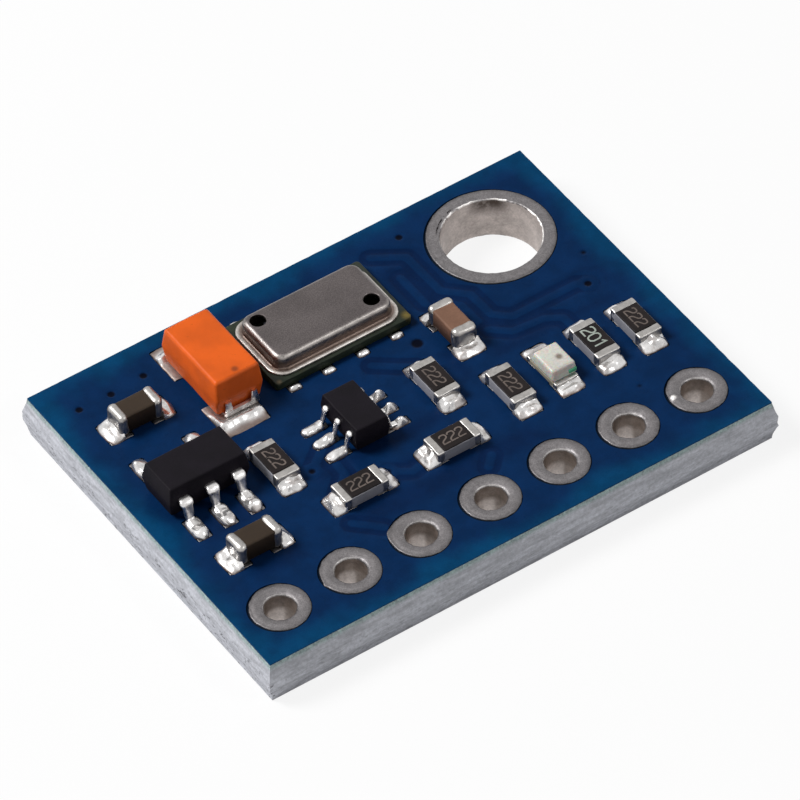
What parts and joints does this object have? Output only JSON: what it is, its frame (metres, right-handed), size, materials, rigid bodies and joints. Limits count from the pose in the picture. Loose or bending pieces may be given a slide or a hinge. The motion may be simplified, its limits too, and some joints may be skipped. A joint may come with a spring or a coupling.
{
  "type": "pressure sensor module",
  "caption": "Small rectangular circuit board with a metal-lidded pressure sensor, surface-mounted parts, a row of plated header holes along one edge and a plated mounting hole.",
  "frame": {"origin": "middle of the board's underside", "axes": "+X along the row of header holes, +Y from that row towards the mounting hole, +Z out of the side that carries the parts"},
  "size_m": [0.0186, 0.0138, 0.0031],
  "materials": {
    "laminate": "satin",
    "solder_mask": "gloss",
    "tinned_copper": "satin",
    "solder": "polished",
    "terminal_metal": "satin",
    "lid_steel": "satin",
    "white_ceramic": "matte",
    "brown_ceramic": "satin",
    "pinkish_ceramic": "satin",
    "resistor_coat": "satin",
    "light_base": "satin",
    "light_lens": "gloss",
    "light_chip": "satin",
    "orange_resin": "satin",
    "sensor_substrate": "satin",
    "silicon": "satin",
    "black_resin": "matte"
  },
  "bodies": {
    "root": {"board_laminate": "laminate", "solder_mask_top": "solder_mask", "solder_mask_bottom": "solder_mask", "component_lands": "tinned_copper", "header_pad_1": "tinned_copper", "header_pad_2": "tinned_copper", "header_pad_3": "tinned_copper", "header_pad_4": "tinned_copper", "header_pad_5": "tinned_copper", "header_pad_6": "tinned_copper", "header_pad_7": "tinned_copper", "mounting_ring": "tinned_copper", "resistor_1_substrate": "white_ceramic", "resistor_1_coat": "resistor_coat", "resistor_2_substrate": "white_ceramic", "resistor_2_coat": "resistor_coat", "resistor_3_substrate": "white_ceramic", "resistor_3_coat": "resistor_coat", "resistor_4_substrate": "white_ceramic", "resistor_4_coat": "resistor_coat", "resistor_5_substrate": "white_ceramic", "resistor_5_coat": "resistor_coat", "resistor_6_substrate": "white_ceramic", "resistor_6_coat": "resistor_coat", "resistor_7_substrate": "white_ceramic", "resistor_7_coat": "resistor_coat", "resistor_ends": "terminal_metal", "resistor_solder": "solder", "capacitor_1_ceramic": "brown_ceramic", "capacitor_1_ends": "terminal_metal", "capacitor_2_ceramic": "brown_ceramic", "capacitor_2_ends": "terminal_metal", "capacitor_3_ceramic": "pinkish_ceramic", "capacitor_3_ends": "terminal_metal", "capacitor_solder": "solder", "led_base": "light_base", "led_ends": "terminal_metal", "led_chip": "light_chip", "led_lens": "light_lens", "led_solder": "solder", "tantalum_case": "orange_resin", "tantalum_anode_terminal": "terminal_metal", "tantalum_cathode_terminal": "terminal_metal", "tantalum_solder": "solder", "sensor_substrate": "sensor_substrate", "sensor_lid": "lid_steel", "sensor_mems_die": "silicon", "sensor_asic_die": "silicon", "sensor_solder": "solder", "regulator_body": "black_resin", "regulator_leads": "terminal_metal", "regulator_solder": "solder", "level_shifter_body": "black_resin", "level_shifter_leads": "terminal_metal", "level_shifter_solder": "solder"}
  },
  "joints": []
}
